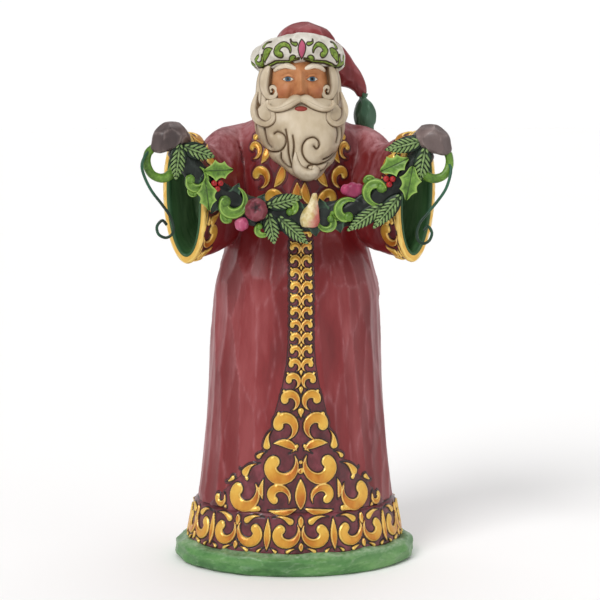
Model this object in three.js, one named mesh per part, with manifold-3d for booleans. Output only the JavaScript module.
// A cast-resin Santa figurine, carved in the manner of folk woodwork, that holds up a garland in his mittens.
// Millimetres, +Z up. The front faces -Y, and the origin is the middle of the underside of the base.
// Four pieces: the figure with its base, cast as one, the garland, and two wire tendrils.
import * as THREE from "three";
import { LoftGeometry } from "three/addons/geometries/LoftGeometry.js";
import { mergeVertices } from "three/addons/utils/BufferGeometryUtils.js";
import Module from "manifold-3d";

const wasm = await Module();
wasm.setup();

// Driving dimensions
const BASE = { halfWidth: 56, halfDepth: 46, height: 10 };
const ROBE_SIDES = 22;
// height, half width and half depth of the robe
const ROBE = [
  [6, 50, 41], [10, 50.6, 41.2], [27.5, 47.4, 38.6], [29, 45.6, 37.4], [55, 43, 35.3], [92, 40.4, 33.1],
  [124, 38.4, 31.6], [137, 35.8, 29.6], [147, 32.4, 27], [155, 30.2, 25.6], [168, 30.4, 25], [184, 33, 24],
  [195, 32.2, 21.4], [203, 25, 16.8], [210, 13, 11.5],
];
const SCROLL_ROOT = -0.5; // how far out the edges of a carved scroll are, under the surface that it stands on
const LEAN = 0.007; // how far the robe's middle moves to the right as it rises
// x, y and z of a sleeve's middle, its half width, and its reach up and down, from the shoulder to the cuff
const SLEEVE = [
  [17, 4, 178, 11, 27, 21], [28, -1, 177, 13, 26, 25.4], [34, -8, 175.6, 13, 24.6, 26.8],
  [39.4, -16, 174.2, 12.2, 20.4, 28], [45.6, -27, 173, 11, 26, 28.6], [51.6, -39, 172, 9.4, 29, 28.4],
];
const SLEEVE_WALL = 1.8;
const SLEEVE_RECESS = 0.52; // share of the sleeve's length at which its hollow ends
// x, y, z and half sizes of a mitten, from the wrist inside the sleeve to the finger tips
const MITTEN = [
  [46, -27, 184, 4.6, 5], [50.6, -38, 190, 5, 5.4], [53, -45.4, 195.8, 5.6, 6], [56, -50.4, 199.2, 6.1, 6.4],
  [59.6, -53.2, 198.4, 5.7, 6.2], [62.4, -54.2, 195.6, 3.8, 4.2], [63.4, -54.4, 193.4, 2, 2],
];
const HEAD = { x: 1, y: -8, z: 222, halfWidth: 15.6, halfDepth: 16, halfHeight: 19 };
// height, middle x and y, half width and half depth of the beard
const BEARD = [
  [215, 1, -13, 15, 10], [210, 1, -14.5, 19, 13], [204, 1.2, -16, 20.6, 14.6], [198, 1.5, -17.4, 19.8, 15],
  [192, 2.2, -19, 16.8, 13.4], [187, 3, -21.4, 13, 11], [182.4, 3.8, -24.4, 8, 7.8], [179, 4.4, -26.4, 3.6, 4],
];
const HAT_BRIM = {
  x: 1.4, y: -7, z: 237.2, tilt: 0.12, dip: 3.2, halfWidth: 21.4, halfDepth: 20.6, halfHeight: 6.8,
};
const HAT_CROWN = { x: 4, y: -3.5, z: 237, halfWidth: 14.6, halfDepth: 15, halfHeight: 13 };
// x, y, z and half sizes along the hat's tail, and then along its tassel
const HAT_TAIL = [
  [9, 4, 239.6, 9, 8.6], [16, 7.6, 234, 8, 8.4], [22, 9.2, 228, 6.4, 7], [27, 9.4, 223.8, 4.6, 4.6],
  [30.6, 9, 220, 2.7, 2.8], [32, 8.8, 216.6, 1.8, 1.8],
];
const TASSEL = [
  [32.7, 8.8, 217.4, 2.1, 2.1], [32.8, 8.6, 215, 1.7, 1.7], [33, 8.4, 212.6, 3.6, 3.4],
  [33.4, 8.2, 208.6, 4.9, 4.6], [33.8, 8, 204.6, 4.7, 4.4], [34.6, 7.8, 201.6, 3.6, 3.4], [36.2, 7.6, 199.4, 1.6, 1.4],
];
// The garland's middle line hangs in a curve, low + sag x² + steep x⁴, and comes forward from near to far.
const GARLAND = {
  span: 55, low: 162.8, sag: 0.0066, steep: 1.4e-6, near: -39.5, far: -51.5, halfHeight: 6.2, halfDepth: 3.8,
};
const WIRE_DIAMETER = 1.3;
const GAP = 0.3;

const COLOURS = {
  resin: 0x7d2632,
  leaves: 0x4f7a2c,
  wire: 0x1f3a2c,
};
const UP = new THREE.Vector3(0, 0, 1);
const FORWARD = new THREE.Vector3(0, -1, 0);

// A closed geometry as a manifold-3d solid that faces out.
function solid(geometry) {
  const bare = new THREE.BufferGeometry().setAttribute("position", geometry.getAttribute("position"));
  bare.setIndex(geometry.getIndex());
  const merged = mergeVertices(bare, 1e-4);
  const vertProperties = merged.attributes.position.array;
  const triVerts = new Uint32Array(merged.index.array);
  const made = new wasm.Manifold(new wasm.Mesh({ numProp: 3, vertProperties, triVerts }));
  if (made.volume() > 0) return made;
  for (let i = 0; i < triVerts.length; i += 3) {
    [triVerts[i + 1], triVerts[i + 2]] = [triVerts[i + 2], triVerts[i + 1]];
  }
  return new wasm.Manifold(new wasm.Mesh({ numProp: 3, vertProperties, triVerts }));
}

function joined(solids) {
  return solids.reduce((all, next) => all.add(next));
}

// Closed-off gaps left between joined parts are filled: the largest shell is the outside.
function filled(body) {
  return body.decompose().sort((a, b) => b.volume() - a.volume())[0];
}

function pieceOf(name, body, color) {
  const { vertProperties, triVerts } = body.getMesh();
  const geometry = new THREE.BufferGeometry()
    .setAttribute("position", new THREE.BufferAttribute(vertProperties, 3))
    .setIndex(new THREE.BufferAttribute(triVerts, 1));
  geometry.computeVertexNormals();
  const mesh = new THREE.Mesh(geometry, new THREE.MeshStandardMaterial({ color, roughness: 0.55, metalness: 0 }));
  mesh.name = name;
  return mesh;
}

// Rows of a table smoothed by a Catmull-Rom curve, with that many steps between two rows.
function smooth(rows, steps) {
  const at = (i, k) => rows[THREE.MathUtils.clamp(i, 0, rows.length - 1)][k];
  const out = [];
  for (let i = 0; i < rows.length - 1; i++) {
    for (let j = 0; j < steps; j++) {
      const t = j / steps;
      out.push(rows[i].map((_, k) => {
        const [a, b, c, d] = [at(i - 1, k), at(i, k), at(i + 1, k), at(i + 2, k)];
        return b + 0.5 * t * (c - a + t * (2 * a - 5 * b + 4 * c - d + t * (3 * (b - c) + d - a)));
      }));
    }
  }
  out.push(rows[rows.length - 1]);
  return out;
}

function rising(rows) {
  return rows[0][0] < rows[rows.length - 1][0] ? rows : [...rows].reverse();
}

// A table's other columns at a value of its first one.
function lookUp(table, value) {
  const rows = rising(table);
  let i = 0;
  while (i < rows.length - 2 && rows[i + 1][0] < value) i++;
  const t = THREE.MathUtils.clamp((value - rows[i][0]) / (rows[i + 1][0] - rows[i][0]), 0, 1);
  return rows[i].slice(1).map((v, k) => v + t * (rows[i + 1][k + 1] - v));
}

// A solid through sections across a path.
// Each row is x, y, z, half width, reach up and, where it differs, reach down.
function limb(rows, { sides = 8, steps = 1, up = UP, grow = 0 } = {}) {
  const path = smooth(rows, steps);
  const centre = (i) => new THREE.Vector3(...path[THREE.MathUtils.clamp(i, 0, path.length - 1)].slice(0, 3));
  const sections = path.map((row, i) => {
    const along = centre(i + 1).sub(centre(i - 1)).normalize();
    const upward = typeof up === "function" ? up(i / (path.length - 1)) : up;
    const across = new THREE.Vector3().crossVectors(upward, along).normalize();
    const high = new THREE.Vector3().crossVectors(along, across);
    return Array.from({ length: sides }, (_, j) => {
      const angle = ((j + 0.5) / sides) * 2 * Math.PI;
      const reach = Math.sin(angle) < 0 && row.length > 5 ? row[5] : row[4];
      return centre(i)
        .addScaledVector(across, (row[3] + grow) * Math.cos(angle))
        .addScaledVector(high, (reach + grow) * Math.sin(angle));
    });
  });
  return solid(new LoftGeometry(sections, { capStart: true, capEnd: true }));
}

// An upright solid with elliptical sections. Each row is height, middle x and y, half width and half depth.
// Every section can dip at its left and right.
function upright(rows, sides, dip = 0) {
  const sections = rising(rows).map(([z, x, y, halfWidth, halfDepth]) =>
    Array.from({ length: sides }, (_, j) => {
      const angle = ((j + 0.22 * Math.sin(2.4 * j)) / sides) * 2 * Math.PI;
      const low = z - dip * Math.sin(angle) ** 2;
      return new THREE.Vector3(x + halfWidth * Math.sin(angle), y - halfDepth * Math.cos(angle), low);
    }),
  );
  return solid(new LoftGeometry(sections, { capStart: true, capEnd: true }));
}

function ball(x, y, z, a, b = a, c = a, [around, down] = [12, 8]) {
  return solid(new THREE.SphereGeometry(1, around, down).rotateX(Math.PI / 2).scale(a, b, c).translate(x, y, z));
}

function mirrored(body) {
  return body.mirror([1, 0, 0]);
}

// Base

function base() {
  const { halfWidth: a, halfDepth: b, height } = BASE;
  const profile = [
    [0, 0.97], [1.2, 1], [height - 3, 1], [height, 0.93],
  ].map(([z, share]) => [z, 0, 0, a * share, b * share]);
  return upright(profile, 26);
}

// Robe

function robe() {
  return upright(ROBE.map(([z, halfWidth, halfDepth]) => [z, LEAN * z, 0, halfWidth, halfDepth]), ROBE_SIDES);
}

// A point at a distance round the robe from its front line, at a height, and a little out from its surface.
function onRobe(round, z, out) {
  const [a, b] = lookUp(ROBE, z);
  const angle = round / a;
  const normal = new THREE.Vector3(b * Math.sin(angle), -a * Math.cos(angle), 0).normalize();
  return new THREE.Vector3(LEAN * z + a * Math.sin(angle), -b * Math.cos(angle), z).addScaledVector(normal, out);
}

// A raised scroll with a ridge along it: a curve that starts as a point, thickens, and winds into a round end.
function scroll(place, { x, z, size, hand = 1, turn = 0, sweep = 4.2, thick = 0.3, rise = 1.6, steps = 6 }) {
  const stations = Array.from({ length: steps }, (_, i) => {
    const t = i / (steps - 1);
    const radius = size * (1 - 0.66 * t ** 1.3);
    const half = size * (0.04 + thick * Math.sin(Math.min(1, 1.15 * t) * 2));
    return { angle: turn + hand * sweep * t, radius, half };
  });
  const sections = stations.map(({ angle, radius, half }) => {
    const at = (reach, out) => place(x + reach * Math.cos(angle), z + reach * Math.sin(angle), out);
    return [at(radius - hand * half, SCROLL_ROOT), at(radius, rise), at(radius + hand * half, SCROLL_ROOT)];
  });
  return solid(new LoftGeometry(sections, { capStart: true, capEnd: true }));
}

// Mirrored pairs of scrolls up the front, wider towards the hem, and a ring of them round the hem.
const FRONT_PAIRS = { count: 6, bottom: 65, top: 147, size: 6.2, shrink: 2.6, spread: 1.1 };
const FAN_ROWS = [
  { z: 50, size: 8, pairs: [9.6] },
  { z: 37, size: 8, pairs: [27] },
];
const HEM_RING = { count: 5, pitch: 31, z: 19.6, size: 6.4 };

function frontScrolls() {
  const found = [];
  const { count, bottom, top, spread, shrink } = FRONT_PAIRS;
  for (let i = 0; i < count; i++) {
    const t = i / (count - 1);
    const size = FRONT_PAIRS.size - shrink * t;
    const z = bottom + (top - bottom) * t;
    for (const hand of [-1, 1]) {
      const turn = hand > 0 ? -1.9 : Math.PI + 1.9;
      found.push(scroll(onRobe, { x: hand * spread * size, z, size, hand: -hand, turn }));
    }
  }
  for (const { z, size, pairs } of FAN_ROWS) {
    for (const x of pairs) {
      for (const hand of [-1, 1]) {
        found.push(scroll(onRobe, { x: hand * x, z, size, hand, turn: hand > 0 ? 2.6 : Math.PI - 2.6 }));
      }
    }
  }
  return found;
}

function hemScrolls() {
  const { count, pitch, z, size } = HEM_RING;
  const found = [];
  for (let i = 0; i < count; i++) {
    const x = (i - (count - 1) / 2) * pitch;
    for (const hand of [-1, 1]) {
      found.push(scroll(onRobe, { x: x + hand * 7.6, z, size, hand, turn: hand > 0 ? 2.6 : Math.PI - 2.6 }));
    }
  }
  return found;
}

// Sleeves

function sleeve() {
  const outside = limb(SLEEVE, { sides: 10, steps: 2 });
  const rows = smooth(SLEEVE, 2);
  const hollow = rows.slice(Math.round(SLEEVE_RECESS * (rows.length - 1))).map(([x, y, z, a, b, c]) => [
    x, y, z, a - SLEEVE_WALL, b - SLEEVE_WALL, c - 1.6 * SLEEVE_WALL,
  ]);
  const [x, y, z, a, b, c] = hollow[hollow.length - 1];
  hollow.push([x + 2.4, y - 4.6, z, a, b, c]);
  return outside.subtract(limb(hollow, { sides: 10 }));
}

// The room that a sleeve takes, with a gap round it and past its end.
function sleeveSpace() {
  const [x, y, z, ...reach] = SLEEVE[SLEEVE.length - 1];
  return limb([...SLEEVE, [x + 0.6 * GAP, y - 1.2 * GAP, z, ...reach]], { sides: 10, steps: 2, grow: 1.5 * GAP });
}

// A point on the side of the sleeve that faces the front, by its distance forward of the cuff and its height.
function onSleeve(forward, z, out) {
  const rows = smooth(SLEEVE, 4);
  const place = THREE.MathUtils.clamp(rows.length - 1 + forward / 3.3, 0, rows.length - 1.01);
  const low = Math.floor(place);
  const row = rows[low].map((v, k) => v + (place - low) * (rows[low + 1][k] - v));
  const along = new THREE.Vector3(...rows[low + 1]).sub(new THREE.Vector3(...rows[low]));
  const inward = new THREE.Vector3().crossVectors(along, UP).normalize();
  const high = THREE.MathUtils.clamp((z - row[2]) / (z < row[2] ? row[5] : row[4]), -0.98, 0.98);
  return new THREE.Vector3(row[0], row[1], z).addScaledVector(inward, row[3] * Math.sqrt(1 - high * high) + out);
}

function cuffScrolls() {
  return [155, 168].map((z) => scroll(onSleeve, { x: -6, z, size: 5.4, turn: -1.6, hand: 1 }));
}

// Mittens

function mitten(grow = 0) {
  return limb(MITTEN, { sides: 9, steps: 1, up: new THREE.Vector3(-0.6, 0, 1).normalize(), grow });
}

// Head

function face() {
  const { x, y, z, halfWidth, halfDepth, halfHeight } = HEAD;
  const front = y - halfDepth;
  const nose = limb([
    [x, front + 1.6, z + 5, 1.2, 1.2], [x, front - 0.6, z, 1.5, 1.7], [x, front - 1.8, z - 4, 2.4, 2.1],
    [x, front - 0.2, z - 6.2, 1.8, 1.2],
  ], { sides: 8, up: FORWARD });
  const features = [-1, 1].flatMap((side) => [
    ball(x + side * 7.2, front + 6.4, z - 4, 5.4, 5.4, 5.2, [8, 6]),
    ball(x + side * 5.3, front + 3.4, z + 2.4, 2.7, 2.6, 1.7, [8, 4]),
    limb([
      [x + side * 2.2, front + 1.2, z + 6.2, 1, 1], [x + side * 5.8, front + 1.8, z + 7, 1.4, 1.3],
      [x + side * 10, front + 4.6, z + 4.6, 0.8, 0.8],
    ], { sides: 6 }),
  ]);
  const skull = ball(x, y, z, halfWidth, halfDepth, halfHeight, [14, 8]);
  return joined([skull, nose, ball(x, front + 1.6, z - 9.8, 3.4, 2.2, 1.6, [8, 4]), ...features]);
}

function moustache(side) {
  const { x } = HEAD;
  return limb([
    [x, -26.6, 213.4, 1.4, 1.4], [x + side * 3.6, -27.8, 213, 2.2, 3.1], [x + side * 8.4, -27.8, 210, 2.2, 3],
    [x + side * 12.8, -26, 208.2, 2, 2.4], [x + side * 16, -23.8, 209.6, 1.6, 1.7],
    [x + side * 16.8, -23, 212.6, 1, 1],
  ], { sides: 7, up: UP });
}

// A point on the front of the beard.
function onBeard(x, z, out) {
  const [middleX, middleY, halfWidth, halfDepth] = lookUp(BEARD, z);
  const across = THREE.MathUtils.clamp((x - middleX) / halfWidth, -0.97, 0.97);
  const depth = Math.sqrt(1 - across * across);
  return new THREE.Vector3(x, middleY - halfDepth * depth, z)
    .add(new THREE.Vector3(across, -Math.max(depth, 0.35), -0.15).normalize().multiplyScalar(out));
}

function beard() {
  const curls = [
    { x: -10.5, z: 197.6, size: 5.4, hand: -1, turn: 3.6 },
    { x: 8.6, z: 196, size: 8, hand: -1, turn: 4.4 },
    { x: 5.4, z: 182.6, size: 4.6, hand: 1, turn: 3.4 },
    { x: -14.6, z: 208.4, size: 4.2, hand: 1, turn: 1.6 },
    { x: 16.6, z: 207.4, size: 4.2, hand: -1, turn: 1.5 },
  ];
  return joined([
    upright(BEARD, 18),
    ...curls.map((curl) => scroll(onBeard, { sweep: 5.4, thick: 0.32, steps: 8, rise: 2, ...curl })),
  ]);
}

function hair() {
  const { x, y, z } = HEAD;
  const locks = [-1, 1].flatMap((side) => [
    limb([
      [x + side * 14, y - 9, z + 8, 2.6, 2.4], [x + side * 16, y - 9.4, z, 3.2, 3],
      [x + side * 15, y - 11.4, z - 6, 3.2, 3],
      [x + side * 12.4, y - 14, z - 7.6, 2.2, 2.2], [x + side * 11.8, y - 14.6, z - 5, 1.2, 1.2],
    ], { sides: 6, up: FORWARD }),
    limb([
      [x + side * 18, y - 4, z + 6, 2, 3], [x + side * 19, y - 5, z - 4, 2.4, 3.6],
      [x + side * 18.8, y - 7, z - 13, 2.4, 3.6],
      [x + side * 16.4, y - 9, z - 19, 2, 2.6],
    ], { sides: 6, up: FORWARD }),
  ]);
  return joined([
    upright([
      [231, x, -4, 17.5, 15], [222, x, -3, 19.4, 16.6], [212, x, -2, 19.8, 16.4], [205, x, -2, 18.8, 15.4],
      [199, x, -3, 15, 13],
    ], 16),
    ...locks,
  ]);
}

// Hat

function hat() {
  const { x, y, z, tilt, dip, halfWidth, halfDepth, halfHeight } = HAT_BRIM;
  const roll = [-1, -0.74, -0.1, 0.55, 0.95].map((t) => {
    const share = 1 - 0.2 * Math.abs(t) ** 2.6;
    return [t * halfHeight, 0, 0, halfWidth * share, halfDepth * share];
  });
  const brim = upright(roll, 18, dip).rotate([(-tilt * 180) / Math.PI, 0, 0]).translate([x, y, z]);
  const crown = HAT_CROWN;
  return joined([
    brim,
    ball(crown.x, crown.y, crown.z, crown.halfWidth, crown.halfDepth, crown.halfHeight, [12, 8]),
    limb(HAT_TAIL, { sides: 8 }),
    limb(TASSEL, { sides: 8, up: FORWARD }),
  ]);
}

// Garland

function garlandAt(x) {
  const { span, low, sag, steep, near, far } = GARLAND;
  return new THREE.Vector3(x, near + (far - near) * (x / span) ** 2, low + sag * x * x + steep * x ** 4);
}

// A place on the front of the garland, by its x and z, and how far it stands out.
function onGarland(x, z, out) {
  return new THREE.Vector3(x, garlandAt(x).y - 0.8 * GARLAND.halfDepth - out, z);
}

// A flat leaf with toothed edges between two places on the garland.
function leaf({ from, to, width, teeth, out = 0.6, thick = 1.6 }) {
  const [start, end] = [new THREE.Vector2(...from), new THREE.Vector2(...to)];
  const length = start.distanceTo(end);
  const turn = end.clone().sub(start).angle();
  const edge = (side) => Array.from({ length: 2 * teeth + 1 }, (_, i) => {
    const t = (i + 0.5) / (2 * teeth + 1);
    const half = (width / 2) * Math.sin(Math.PI * t ** 0.75) * (i % 2 ? 1.18 : 0.78);
    return new THREE.Vector2(length * t, side * half);
  });
  const outline = [new THREE.Vector2(0, 0), ...edge(-1), new THREE.Vector2(length, 0), ...edge(1).reverse()];
  const flat = new THREE.ExtrudeGeometry(new THREE.Shape(outline), { depth: thick, bevelEnabled: false });
  const position = flat.getAttribute("position");
  for (let i = 0; i < position.count; i++) {
    const at = new THREE.Vector2(position.getX(i), position.getY(i));
    const arch = Math.sin((Math.PI * at.x) / length);
    const lift = out - thick + position.getZ(i) + arch;
    at.rotateAround(new THREE.Vector2(), turn).add(start);
    const point = onGarland(at.x, at.y, lift);
    position.setXYZ(i, point.x, point.y, point.z);
  }
  return solid(flat);
}

const SPRIGS = [
  [[-53.6, 197], [-55.6, 181]], [[-52.4, 195.6], [-38.4, 190.6]], [[-14.8, 166], [-12, 151.6]],
  [[-15.6, 168.6], [0.4, 172.6]], [[-10.4, 164], [3, 151.6]], [[36.4, 169.6], [20.2, 157.4]],
  [[43.4, 174], [31.6, 158.6]], [[53.4, 198], [36.6, 193.4]], [[53.6, 195], [51.2, 180.2]],
];
const HOLLY = [
  [[-43, 184.6], [-30.2, 185]], [[-42.6, 181], [-41, 167.2]],
  [[34.6, 184], [46.6, 190]], [[48.4, 186.6], [45.6, 171.4]],
];
const CURLS = [
  { x: -47.2, z: 181, size: 5.8, hand: -1, turn: 1.2 },
  { x: -31.4, z: 170.6, size: 7.2, hand: -1, turn: 1.1 },
  { x: -17.6, z: 158.8, size: 4, hand: -1, turn: 0.6 },
  { x: -5.4, z: 167.6, size: 4.4, hand: -1, turn: 3 },
  { x: 11.8, z: 161.6, size: 4.6, hand: 1, turn: 2.6 },
  { x: 20.4, z: 166, size: 6, hand: 1, turn: 0.5 },
  { x: 33.6, z: 175.2, size: 6.4, hand: -1, turn: 5.2 },
];
const BERRY_GROUPS = [[-37.4, 178.4], [38.4, 180]];
const END_LOOP = [
  [61.6, -52.6, 194.6, 2, 2], [65, -54.4, 191.4, 2.3, 2.3], [65.6, -54.6, 186.6, 2.4, 2.4],
  [63.4, -54.8, 182.4, 2.5, 2.5], [59, -54.2, 180.8, 2.6, 2.6], [55, -52.6, 182.6, 2.8, 2.8],
  [52, -50.6, 187, 2.8, 2.8],
];
const END_LOOP_SHIFT = -2.1; // the garland hangs a little to one side

function fruit() {
  const pear = upright([
    [-5.8, 0, 0, 1.6, 1.4], [-5.2, 0, 0, 3.6, 3.2], [-2.6, 0, 0, 4.6, 4], [0.6, 0, 0, 4, 3.6],
    [4.6, 0, 0, 2.2, 2.2], [8.6, 0, 0, 1, 1],
  ], 10);
  return [
    pear.translate(onGarland(4, 165, 1.4).toArray()),
    ball(...onGarland(-20.3, 167.2, 1.6).toArray(), 5, 4.2, 5, [10, 6]),
    ball(...onGarland(-26.6, 160.9, 0.6).toArray(), 2.9, 2.7, 3, [8, 6]),
    ball(...onGarland(22.8, 175.4, -1.4).toArray(), 5, 2.8, 3.4, [10, 6]),
  ];
}

function garland() {
  const core = Array.from({ length: 15 }, (_, i) => {
    const x = GARLAND.span * (i / 7 - 1);
    const { y, z } = garlandAt(x);
    const fade = 1 - 0.35 * Math.abs(x / GARLAND.span) ** 4;
    return [x, y, z, GARLAND.halfDepth * fade, GARLAND.halfHeight * fade];
  });
  const berries = BERRY_GROUPS.flatMap(([x, z]) =>
    [0, 1, 2].map((i) => {
      const angle = (i * 2 * Math.PI) / 3 + 0.5;
      const at = onGarland(x + 1.8 * Math.cos(angle), z + 1.8 * Math.sin(angle), 1.8);
      return ball(at.x, at.y, at.z, 1.6, 1.6, 1.6, [6, 4]);
    }),
  );
  const loop = limb(END_LOOP, { sides: 6, up: FORWARD });
  const whole = joined([
    limb(core, { sides: 6, up: UP }),
    ...SPRIGS.map(([from, to]) => leaf({ from, to, width: 7.2, teeth: 2 })),
    ...HOLLY.map(([from, to]) => leaf({ from, to, width: 9.4, teeth: 2, thick: 1.8, out: 1.4 })),
    ...CURLS.map((curl) => scroll(onGarland, { sweep: 4.6, thick: 0.36, steps: 7, rise: 2.6, ...curl })),
    ...fruit(),
    ...berries,
    ...[loop, mirrored(loop)].map((one) => one.translate([END_LOOP_SHIFT, 0, 0])),
  ]);
  const space = mitten(GAP).add(sleeveSpace());
  return filled(whole.subtract(space).subtract(mirrored(space)));
}

// Wire tendrils, each bent by hand from a hole in the garland's end loop down into one open spiral

const TENDRILS = {
  left: [
    [-65, -55, 193], [-68.6, -57.4, 191], [-70.2, -58.6, 187.4], [-69, -59, 182.4], [-66, -58.6, 176.4],
    [-61.8, -58, 170.8], [-58.4, -57.6, 165.8], [-56.8, -57.6, 161], [-57.4, -57.6, 157.6], [-60.2, -57.6, 156.1],
    [-63.2, -57.6, 157.6], [-63.9, -57.6, 161], [-61.6, -57.6, 163.6], [-59.6, -57.6, 161.6],
  ],
  right: [
    [62, -55, 187], [64, -57.4, 185], [63.9, -58.4, 181.6], [62, -58.4, 176.3], [58.3, -58, 170.9],
    [54.1, -57.6, 165.8], [51.1, -57.6, 162.1], [49.7, -57.6, 158], [50.3, -57.6, 154.4], [52.8, -57.6, 152.8],
    [55.4, -57.6, 154.3], [56.4, -57.6, 157.6], [54.6, -57.6, 160.4], [52.7, -57.6, 158.6],
  ],
};

function tendril(side, grow = 0) {
  const radius = WIRE_DIAMETER / 2 + grow;
  const rows = TENDRILS[side].map((point) => [...point, radius, radius]);
  return limb(rows, { sides: 5, steps: 2, up: new THREE.Vector3(0.1, -1, 0.15) });
}

// Everything in its place

const sides = [sleeve(), mitten(), ...cuffScrolls()];
const figure = filled(joined([
  base(), robe(), ...frontScrolls(), ...hemScrolls(), face(), moustache(-1), moustache(1), beard(), hair(), hat(),
  ...sides, ...sides.map(mirrored),
]));
const wreath = filled(garland().subtract(tendril("left", GAP)).subtract(tendril("right", GAP)));

const santa = new THREE.Group();
santa.add(
  pieceOf("santa_figure", figure, COLOURS.resin),
  pieceOf("garland", wreath, COLOURS.leaves),
  pieceOf("tendril_left", tendril("left"), COLOURS.wire),
  pieceOf("tendril_right", tendril("right"), COLOURS.wire),
);

export default santa;
